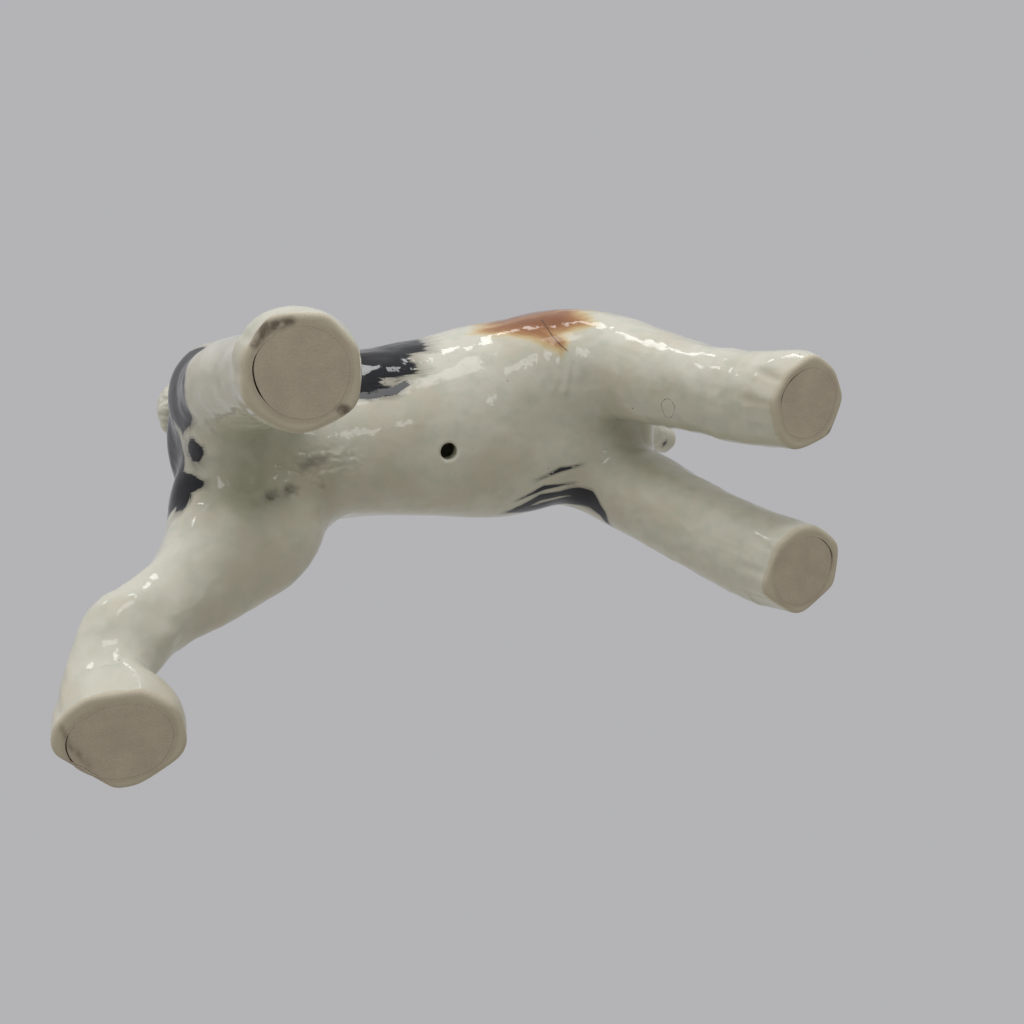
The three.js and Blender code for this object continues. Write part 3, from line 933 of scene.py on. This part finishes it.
def turned(points, centre):
    """The direction of points round a centre, in degrees from forward towards the left."""
    return np.degrees(np.arctan2(points[:, LEFT] - centre[1], points[:, FORWARD] - centre[0]))


def facing(angle, towards, spread):
    """1 in one direction, falling to 0 at a spread of degrees from it."""
    return between(spread, 0, np.abs((angle - towards + 180) % 360 - 180))


def outward(angle):
    """The level directions of length 1 at angles in degrees, one in each row."""
    return np.stack((np.cos(np.radians(angle)), np.sin(np.radians(angle)), 0 * angle), axis=-1)


def sole_middle(name):
    return np.array((*lower_leg_sections[name][0][:2], 0))


def leg_form(name):
    sections = lower_leg_sections[name] + upper_leg_sections[name]
    return oval_form(sections, UP, np.inf, upper_leg_domes[name], LEG_SQUARE)


def leg_clay(name):
    legs = {**upper_legs, name: leg_form(name)}
    middle = sole_middle(name)
    bump, soft = leg_bumps[name]

    def clay(points):
        found = merge(body_clay(points, legs), bump(points), soft)
        lean = 0.4 * points[:, UP] + np.maximum(points[:, UP] - 6, 0) * 3
        for direction, reach in knife_cuts[name]:
            past = (points - middle) @ outward(direction) - reach - lean
            found = carve(found, -past, 0.8)
        return found

    return clay


def toe_relief(name):
    """The coat's relief, with three grooves between the toes at the front of the foot."""
    middle = sole_middle(name)

    def relief(points):
        angle = turned(points, middle)
        low = between(9, 5, points[:, UP]) * between(0.2, 1.5, points[:, UP])
        grooves = sum(facing(angle, direction, 9) for direction in TOE_GROOVES)
        toes = facing(angle, 0, 75) * 0.15 - grooves * 0.22
        return coat_relief(points) + low * toes

    return relief


def mesh_normals(points, triangles):
    """Normals at the points of a mesh, from its own faces."""
    first, second, third = (points[triangles[:, k]] for k in range(3))
    across = np.cross(second - first, third - first)
    normals = np.zeros(points.shape)
    for corner in range(3):
        for k in range(3):
            normals[:, k] += np.bincount(triangles[:, corner], across[:, k], minlength=len(points))
    return normals / (np.linalg.norm(normals, axis=1, keepdims=True) + 1e-12)


def disc_radius(name, angle):
    """How far the edge of the clay disc is from the sole's middle, in a direction in degrees."""
    _, _, _, half_left, half_forward = lower_leg_sections[name][0]
    forward, left = np.cos(np.radians(angle)), np.sin(np.radians(angle))
    even = 1 / np.hypot(forward / (half_forward - PLUG_INSET), left / (half_left - PLUG_INSET))
    return even * (1 + 0.012 * np.sin(np.radians(angle * 3 + 40)) + 0.01 * np.sin(np.radians(angle * 5)))


def crack_width(name, angle):
    """The open joint round the disc: a hairline, and wider on one side."""
    wander = 0.5 + 0.5 * np.sin(np.radians(angle * 7 + 60)) * np.sin(np.radians(angle * 3))
    return 0.005 + 0.22 * facing(angle, crack_facing[name], 52) * (0.4 + 0.6 * wander)


def unevenness(points):
    """Hand-smoothed bare clay."""
    return 0.05 * swell(points, (4, 4, 4), 11) + 0.035 * swell(points, (1.3, 1.3, 1.3), 12)


SOLE_UP = 0.02  # of the bare clay above the shelf, where it is even
RING_INSET = 0.85  # from the foot's side to the flat ring
ROUNDED_EDGE = ((0.08, 0.5), (0.25, 0.25), (0.5, 0.09), (RING_INSET, SOLE_UP))  # inset and height


def bare_sole(name, rim):
    """Rings of points from the foot's side over its edge and its bare ring, and up into the disc's socket."""
    middle = sole_middle(name)
    angle = turned(rim, middle)
    way = outward(angle)
    reach = np.linalg.norm((rim - middle)[:, :2], axis=1)
    edge = disc_radius(name, angle) + crack_width(name, angle)
    rings = []
    for inset, up in ROUNDED_EDGE:
        rings.append(middle + way * (reach - inset)[:, None] + (0, 0, up))
    for share in (0.2, 0.4, 0.6, 0.8, 0.93, 0.995):
        spot = middle + way * (edge + (reach - RING_INSET - edge) * (1 - share))[:, None]
        spot[:, UP] = SOLE_UP + np.abs(unevenness(spot)) * np.minimum(share, 1 - share) * 2
        rings.append(spot)
    for worn, up in ((0.4, 0.01), (0.1, 0.12), (0, 1.5), (0, SOCKET_DEPTH)):
        rings.append(middle + way * (edge + worn * crack_width(name, angle))[:, None] + (0, 0, up))
    return rings, middle + (0, 0, SOCKET_DEPTH)


CLAY_DARK, CLAY_LIGHT, CLAY_GRAIN = (0.54, 0.475, 0.405), (0.62, 0.555, 0.475), (0.42, 0.36, 0.29)
WIPED_RIM = (0.65, 0.595, 0.495)
KILN_DIRT = (0.13, 0.10, 0.075)


def bare_clay(finish):
    """Fired clay without glaze: grey beige, speckled, smudged with kiln dirt, lighter at the wiped rim."""
    cloud = finish.noise(5, 4, shift=3)
    grain = finish.noise(0.35, 3, shift=4)
    clay = finish.mix(cloud.step(0.3, 0.75), CLAY_DARK, CLAY_LIGHT)
    clay = finish.mix(grain.step(0.35, 0.8) * 0.35, clay, CLAY_GRAIN)
    clay = finish.mix(finish.mark("rim").step(0.15, 0.85) * 0.8, clay, WIPED_RIM)
    smudge = finish.mark("stain") * (0.5 + finish.noise(1.2, 3, shift=8)).step(0.6, 1.1)
    return finish.mix(smudge * 0.85, clay, KILN_DIRT)


foot_stains = {
    "hind_left": (pad((-5, 12, 0), (1.2, 0.8, 1)),),
    "hind_right": (pad((5, -24.5, 0), (1.2, 0.7, 1)),),
    "front_left": (
        roll(((105.8, 32.5, 0.2), (104, 35, 0.2), (100, 36, 0.2)), (0.5, 0.9, 0.5)),
        pad((92.6, 21.8, 0), (1, 0.8, 1)),
    ),
    "front_right": (roll(((139.5, -27, 0.2), (138.6, -31, 0.2), (136, -35, 0.2)), (0.1, 0.2, 0.1)),),
}


def stained(name, spots):
    return between(-0.6, 0.4, inside(foot_stains[name], spots))


leg_glaze = Finish("leg_glaze_and_bare_foot")
glazed = (leg_glaze.mark("side") + (leg_glaze.noise(2, 3) - 0.5) * 0.9).step(0.35, 0.6)
leg_colour = drawn_lines(leg_glaze, underglaze_paint(leg_glaze, glaze_colour(leg_glaze)), 0.07)
leg_colour = leg_glaze.mix(glazed, bare_clay(leg_glaze), leg_colour)
clear_glaze(leg_glaze, leg_colour)
grit = leg_glaze.noise(0.3, 3) * (1 - glazed) * 0.6 + leg_glaze.noise(2.4, 2) * glazed
leg_glaze.set(roughness=0.78 - glazed * 0.70, normal=leg_glaze.bump(grit, 0.6, 0.1))

for name in lower_leg_sections:
    clay = leg_clay(name)
    form = leg_form(name)
    rows = np.array(lower_leg_sections[name] + upper_leg_sections[name])
    low = (rows[:, FORWARD].min() - 16, rows[:, LEFT].min() - 14, -1.5)
    high = (rows[:, FORWARD].max() + 16, rows[:, LEFT].max() + 14, JOINT_UP + 2)
    points, faces = skin(clay, low, high)
    up = points[:, UP]
    own_side = np.where(up < JOINT_UP - 8, 5 - form(points), -joint_side(points, (upper_legs[name],)))
    spots, faces = trim(points, faces, np.minimum(own_side, up - SOLE_EDGE_UP))
    points, normals, hollow = dressed(clay, toe_relief(name), spots)

    # The sole goes on at the lower opening, and the upper one is closed
    sole_start = len(points)
    ring = np.array(min(open_loops(faces), key=lambda loop: points[loop][:, UP].mean()))
    rings, top = bare_sole(name, points[ring])
    new_faces = []
    for row in rings:
        fresh = np.arange(len(row)) + len(points)
        points = np.concatenate((points, row))
        new_faces.append(strips(fresh, ring))
        ring = fresh
    new_faces.append(np.stack((ring, np.full(len(ring), len(points)), np.roll(ring, -1)), axis=1))
    points = np.concatenate((points, top[None]))
    faces = np.concatenate([faces] + new_faces)
    sole_normals = mesh_normals(points, faces)[sole_start:]
    points, faces = plug_openings(points, faces, 2, clay)
    plug_points = len(points) - sole_start - len(sole_normals)
    normals = np.concatenate((normals, sole_normals, np.repeat([(0.0, 0, 1)], plug_points, 0)))
    spots = np.concatenate((spots, points[sole_start:]))
    hollow = np.concatenate((hollow, np.zeros(len(points) - sole_start)))

    marks = painted(spots, normals, black=black_strokes, tan=tan_strokes, line=leg_lines)
    marks["hollow"] = hollow
    marks["side"] = between(0.1, 1.6, spots[:, UP])
    middle = sole_middle(name)
    reach = np.hypot(*(spots - middle)[:, :2].T)
    off_disc = reach - disc_radius(name, turned(spots, middle))
    marks["rim"] = between(1.9, 0.4, spots[:, UP]) * between(0, 1.6, off_disc)
    marks["stain"] = stained(name, spots)
    add_piece(f"leg_{name}", f"glazed_leg_{name}", leg_glaze, points, faces, normals, marks)


# Foot plugs. Each leg's open end is closed by a disc of the same clay, pressed in level with the foot's ring.
# The discs shrank a little in the kiln, so a hairline shows round them, and they stay bare, matt and smudged.
PLUG_TOP = 3.0
PLUG_SPOKES = 96
UNLIKE_RING = 31  # millimetres away, where the clay's unevenness differs from the ring's
# Rings of each disc from its middle to its top: share of its radius, wear in shares of the crack, and height
plug_rings = [(share, 0, SOLE_UP) for share in (0.12, 0.25, 0.38, 0.5, 0.62, 0.73, 0.83, 0.91, 0.96, 0.996)]
plug_rings += [(1, 0.4, 0.01), (1, 0.1, 0.12), (1, 0, 0.6), (1, 0, 2.0), (1, 0, PLUG_TOP), (0.6, 0, PLUG_TOP)]
bare_plug = Finish("bare_fired_clay")
plug_grit = bare_plug.bump(bare_plug.noise(0.3, 3) + bare_plug.noise(2.2, 2) * 0.8, 0.6, 0.1)
bare_plug.set(base_color=bare_clay(bare_plug), roughness=0.8, ior=1.45, normal=plug_grit)
for name in lower_leg_sections:
    middle = sole_middle(name)
    angle = np.arange(PLUG_SPOKES) * 360 / PLUG_SPOKES
    way = outward(angle)
    edge = disc_radius(name, angle)
    points = middle[None] + (0, 0, 0.05)
    ring = np.zeros(PLUG_SPOKES, int)
    faces = []
    for share, worn, up in plug_rings:
        row = middle + way * (edge * share - worn * crack_width(name, angle))[:, None] + (0, 0, up)
        if up == SOLE_UP:
            row[:, UP] = SOLE_UP + np.abs(unevenness(row + UNLIKE_RING)) * (1 - share**4)
        fresh = np.arange(PLUG_SPOKES) + len(points)
        points = np.concatenate((points, row))
        new = strips(ring, fresh)
        faces.append(new[(new != np.roll(new, 1, axis=1)).all(axis=1)])
        ring = fresh
    faces.append(np.stack((ring, np.roll(ring, -1), np.full(len(ring), len(points))), axis=1))
    points = np.concatenate((points, middle[None] + (0, 0, PLUG_TOP)))
    faces = np.concatenate(faces)
    normals = mesh_normals(points, faces)
    marks = {"rim": np.zeros(len(points)), "stain": stained(name, points)}
    add_piece(f"foot_plug_{name}", f"bare_plug_{name}", bare_plug, points, faces, normals, marks)


# Tail. A solid docked tail, rolled by hand and luted to the rump, with the slip smoothed into a fillet round
# it. It is white, with one small black spot near its end.
tail_spot = stroke(((-17.2, -10.9, 84.7), (-15.9, -11.7, 84.6)), (0.6, 0.9), 0.6, 0.5)
tail_strokes = [*black_strokes, tail_spot]
tail_glaze = Finish("tail_glaze")
clear_glaze(tail_glaze, underglaze_paint(tail_glaze, glaze_colour(tail_glaze)))


def tail_clay(points):
    return merge(body_clay(points), tail_roll(points), TAIL_FILLET)


def tail_keep(points):
    return -tail_edge(points)


spots, faces, points, normals, hollow = moulded(
    tail_clay, coat_relief, (-27, -24, 62), (18, 14, 100), tail_keep
)
marks = painted(spots, normals, black=tail_strokes, tan=tan_strokes)
marks["hollow"] = hollow
add_piece("tail", "glazed_tail", tail_glaze, points, faces, normals, marks)


# Head. A hollow cast of the head and upper neck, luted on top of the neck, with the beard and brows combed
# into the clay. The face is tan with a white muzzle, and the eyes and the nose are painted black.

# forward, left, up, half width, half height
head_sections = (
    (77, 0, 119, 9, 9.5),
    (85, 0, 121, 13, 12),
    (95, 0, 120.5, 12.4, 12.2),
    (102.5, 0, 116.8, 9.8, 11),
    (109.5, 0, 114, 8.4, 10.2),
    (116, 0, 112.5, 7.2, 9.6),
)
skull = oval_form(head_sections, FORWARD, 4, 6)
nose = pad((118.7, 0, 118.5), (2.9, 3.4, 2.6))
SIDES = (1, -1)
eyes = [pad((101.2, side * 8.0, 122.3), (2.1, 2.0, 2.0)) for side in SIDES]
eye_hollows = [pad((103.2, side * 10.4, 122.2), (4.4, 2.8, 3.4)) for side in SIDES]
nostrils = [pad((121.2, side * 1.6, 118.1), (1.3, 0.8, 0.7)) for side in SIDES]
# The mouth's line and the brow, from the middle to one side; the other side mirrors them
LIP_PATH = ((123, 0.3, 112.6), (120.2, 4.6, 110.9), (113.5, 8.2, 109.6), (107, 9.4, 110.6))
BROW_PATH = ((95, 4.4, 130.6), (100, 6.2, 128.4), (103.4, 7.8, 125.6), (104.6, 9.4, 122.8))
lip_paths = [curved(LIP_PATH) * (1, side, 1) for side in SIDES]
lips = [roll(path, 0.45) for path in lip_paths]
forehead_dip = roll(((88, 0, 134.2), (100, 0, 130)), 0.8)
brows = [roll(curved(BROW_PATH, 3) * (1, side, 1), 1.3) for side in SIDES]
head_pads = [(pad((115.5, 0, 105), (6, 5.5, 3.8)), 3)]  # chin
for side, brow in zip(SIDES, brows):
    head_pads.append((pad((90, side * 10, 115), (9, 4, 7)), 4))  # cheek
    head_pads.append((pad((110, side * 5.2, 108.5), (8.5, 3.2, 5.2), 12, LEFT), 4))  # whiskers
    head_pads.append((brow, 3.2))


def head_clay(points):
    clay = merge(body_clay(points), skull(points), 5)
    for shape, soft in head_pads:
        clay = merge(clay, shape(points), soft)
    clay = carve(clay, forehead_dip(points), 4)
    for eye_hollow, eye, lip in zip(eye_hollows, eyes, lips):
        clay = carve(clay, eye_hollow(points), 2.5)
        clay = merge(clay, eye(points), 0.4)
        clay = carve(clay, lip(points), 1.6)
    clay = merge(clay, nose(points), 0.8)
    for nostril in nostrils:
        clay = carve(clay, nostril(points), 0.4)
    return clay


def head_relief(points):
    """The coat's relief, with the beard and the left brow combed deeper, forwards and down."""
    forward, left, up = points.T
    combed = np.stack((forward + up * 0.9, left, up - forward * 0.9), axis=1)
    strokes = 1 - 2.4 * np.abs(swell(combed, (11, 1.9, 3.4), 21))
    on_beard = between(98, 106, forward) * between(118, 111, up)
    on_brow = between(3, -1, brows[0](points)) * 0.7
    off_lips = between(0.4, 2.2, -inside(lips, points))
    smooth = between(1.2, 0.2, -inside((nose, *eyes), points))
    combing = 0.3 * np.clip((on_beard + on_brow) * off_lips, 0, 1)
    return (coat_relief(points) + combing * strokes) * (1 - smooth)


# Each ear as flat sections, counted from its seat on the skull: ahead, rise, half width, half thickness
ear_sections = (
    (0, -5, 4.8, 1.8),
    (0.4, 3, 6, 1.7),
    (3.8, 6.4, 6.2, 1.6),
    (8.4, 3, 4.8, 1.4),
    (11.6, -3, 1.8, 1.1),
)
EAR_TURN = 0.6  # radians by which each flap hangs outwards of straight ahead
EAR_FILLET = 1.8


def ear_form(side):
    """A flat form that follows a curve in one upright plane."""
    rows = curved(ear_sections, 6)
    seat = np.array((85, side * 7.52, 128.8))
    ahead = np.array((np.cos(EAR_TURN), side * np.sin(EAR_TURN), 0))
    across = np.array((-side * np.sin(EAR_TURN), np.cos(EAR_TURN), 0))

    def measure(points):
        local = points - seat
        flat = np.stack((local @ ahead, local[:, UP]), axis=1)
        best = np.full(len(points), 50.0)
        half = np.ones((len(points), 2))
        for start, end in zip(rows, rows[1:]):
            run = end[:2] - start[:2]
            share = np.clip((flat - start[:2]) @ run / (run @ run), 0, 1)
            gap = np.linalg.norm(flat - start[:2] - share[:, None] * run, axis=1)
            closer = gap < best
            best[closer] = gap[closer]
            half[closer] = (start[2:] + share[:, None] * (end[2:] - start[2:]))[closer]
        wide, thick = local @ across / half[:, 0], best / half[:, 1]
        size = np.hypot(wide, thick)
        return size * (size - 1) / (np.hypot(wide / half[:, 0], thick / half[:, 1]) + 1e-9)

    return nearby(seat + ahead * 5.8, 20, measure)


ear_forms = {"left": ear_form(1), "right": ear_form(-1)}


def ear_edge(points, side):
    return ear_forms[side](points) - EAR_FILLET - 0.8


def head_keep(points):
    off_ears = np.minimum(ear_edge(points, "left"), ear_edge(points, "right"))
    return np.minimum(points[:, UP] - NECK_JOINT_UP, off_ears)


FEATURE_BLACK = (0.014, 0.013, 0.014)
head_glaze = Finish("painted_head_glaze")
head_colour = drawn_lines(head_glaze, underglaze_paint(head_glaze, glaze_colour(head_glaze)), 0.4)
head_colour = head_glaze.mix(head_glaze.mark("features").step(-0.15, 0.2), head_colour, FEATURE_BLACK)
clear_glaze(head_glaze, head_colour)
face_strokes = []
for side in SIDES:
    cheek = ((76, side * 7, 112), (88, side * 12, 119), (97, side * 10.5, 120))
    temple = ((78, side * 5, 127), (90, side * 6, 131.5), (99, side * 7, 128))
    face_strokes.append(stroke(cheek, (7, 8.5, 5), 1.4, 2.4))
    face_strokes.append(stroke(temple, (7, 6.5, 3), 1.4, 2.4))
face_strokes.append(stroke(((72, 0, 124), (83, 0, 132), (97, 0, 131)), (9, 9, 4), 1.4, 3))  # nape to forehead
lip_lines = [stroke(path, 1.6, 1, 1.4) for path in lip_paths]
spots, faces, points, normals, hollow = moulded(
    head_clay, head_relief, (70, -18, 94), (127, 18, 140), head_keep
)
marks = painted(spots, normals, black=black_strokes, tan=face_strokes, line=lip_lines)
marks["hollow"] = hollow
marks["features"] = inside((nose, *eyes), spots) + 0.25
add_piece("head_shell", "glazed_head", head_glaze, points, faces, normals, marks)


# Ears. Two flat solid ears, pressed in a small mould, luted to the skull and folded over forwards while the
# clay was soft. They are painted black, brushed from root to tip.
ear_glaze = Finish("painted_ear_glaze")
clear_glaze(ear_glaze, underglaze_paint(ear_glaze, glaze_colour(ear_glaze)))
ear_sides = {"left": (-1, 24), "right": (-24, 1)}  # where each mesh begins and ends, to the left
for side, shape in ear_forms.items():

    def ear_clay(points):
        return merge(head_clay(points), shape(points), EAR_FILLET)

    def ear_keep(points):
        return -ear_edge(points, side)

    low, high = zip((76, 106), ear_sides[side], (118, 140))
    spots, faces, points, normals, hollow = moulded(ear_clay, head_relief, low, high, ear_keep, 1)
    marks = painted(spots, normals, tan=face_strokes)
    marks["hollow"] = hollow
    marks["black"] = np.stack((1.6 - shape(spots) * 1.6, spots[:, UP], spots[:, LEFT]), axis=1)
    add_piece(f"ear_{side}", f"glazed_ear_{side}", ear_glaze, points, faces, normals, marks)


# Stage. A pale shelf that is seen from above and not from below, because the photograph looks at the dog's
# belly, a soft light tent, and the camera at the photograph's own viewing angle.
SHELF_HALF = 3
SHELF_FADE = (0.22, 0.62)  # where the shelf fades into the backdrop, from its middle
SHELF_SINK = 0.00005  # so that it does not flicker through the soles
shelf_corners = [(SHELF_HALF * x, SHELF_HALF * y, 0) for x, y in ((-1, -1), (1, -1), (1, 1), (-1, 1))]
floor_mesh = bpy.data.meshes.new("shelf")
floor_mesh.from_pydata(shelf_corners, [], [(0, 1, 2, 3)])
floor = bpy.data.objects.new("shelf", floor_mesh)
bpy.context.scene.collection.objects.link(floor)
floor.location.z = -SHELF_SINK
floor.visible_diffuse = False
floor.visible_glossy = False
floor.visible_transmission = False
floor.visible_shadow = False
paper = Finish("pale_shelf")
paper.set(base_color=(0.56, 0.56, 0.57), roughness=0.9)
see_through = paper.add("ShaderNodeBsdfTransparent", output="BSDF")
behind = paper.add("ShaderNodeNewGeometry", output="Backfacing")
from_middle = paper.add("ShaderNodeVectorMath", {"operation": "LENGTH"}, {0: paper.place}, output="Value")
gone = behind.most(from_middle.step(*SHELF_FADE))
solid = Wire(paper, paper.shader.outputs["BSDF"])
paper.feed(paper.surface, paper.add("ShaderNodeMixShader", {}, {0: gone, 1: solid, 2: see_through}))
floor_mesh.materials.append(paper.material)


BELLY = (0, 0, 0.055)


def add_lamp(name, place, width, height, brightness, mirrored=True):
    """A rectangular lamp that looks at the dog's belly, as bright as a white wall where brightness is 1."""
    lamp = bpy.data.lights.new(name, "AREA")
    lamp.shape = "RECTANGLE"
    lamp.size = width
    lamp.size_y = height
    lamp.energy = brightness * np.pi * width * height
    body = bpy.data.objects.new(name, lamp)
    body.visible_glossy = mirrored
    bpy.context.scene.collection.objects.link(body)
    way = Vector(BELLY) - Vector(place)
    body.matrix_world = Matrix.Translation(place) @ way.to_track_quat("-Z", "Y").to_matrix().to_4x4()


add_lamp("tent_left", (0.75, -0.05, 0.0), 0.4, 0.4, 4.1, False)
add_lamp("tent_top", (0.05, 0.0, 0.75), 0.9, 0.9, 1.1, False)
add_lamp("tent_front", (0.05, -0.75, 0.12), 0.6, 0.6, 0.7, False)
add_lamp("tent_right", (-0.7, 0.12, 0.35), 0.6, 0.6, 0.8, False)
add_lamp("window_one", (0.43, 0.0, 0.30), 0.08, 0.10, 5.5)
add_lamp("window_two", (0.45, 0.11, 0.20), 0.08, 0.10, 5.5)
add_lamp("window_forward", (0.34, -0.24, 0.30), 0.08, 0.08, 5)
add_lamp("window_level", (0.46, 0.04, -0.06), 0.16, 0.15, 3)
add_lamp("window_low", (0.27, -0.15, -0.24), 0.10, 0.12, 3)
add_lamp("window_below", (0.15, 0.12, -0.34), 0.08, 0.06, 3)

SEEN_BACKDROP = (0.455, 0.455, 0.47)
TENT_LIGHT = (0.30, 0.285, 0.235)
world = bpy.data.worlds.new("tent")
bpy.context.scene.world = world
sky = Tree(world)
seen = sky.add("ShaderNodeBackground", {}, {"Color": SEEN_BACKDROP})
ambient = sky.add("ShaderNodeBackground", {}, {"Color": TENT_LIGHT})
shown = sky.add("ShaderNodeLightPath", output="Is Camera Ray")
for kind in ("Is Glossy Ray", "Is Transmission Ray"):
    shown = shown.most(sky.add("ShaderNodeLightPath", output=kind))
sky.feed(sky.surface, sky.add("ShaderNodeMixShader", {}, {0: shown, 1: ambient, 2: seen}))

camera_data = bpy.data.cameras.new("photo_camera")
camera_data.sensor_width = 36
camera_data.sensor_fit = "HORIZONTAL"
camera_data.lens = 32.13
camera_data.clip_start = 0.01
camera = bpy.data.objects.new("photo_camera", camera_data)
bpy.context.scene.collection.objects.link(camera)
camera_place = (0.05366, -0.05915, -0.1443)
right, upright, backward = (0.0222, 0.9366, -0.3496), (0.9497, 0.0896, 0.3002), (0.3125, -0.3387, -0.8875)
camera_turn = Matrix((right, upright, backward)).transposed().to_4x4()
camera.matrix_world = Matrix.Translation(camera_place) @ camera_turn
bpy.context.scene.camera = camera
bpy.context.scene.view_settings.view_transform = "Standard"

bpy.context.view_layer.update()
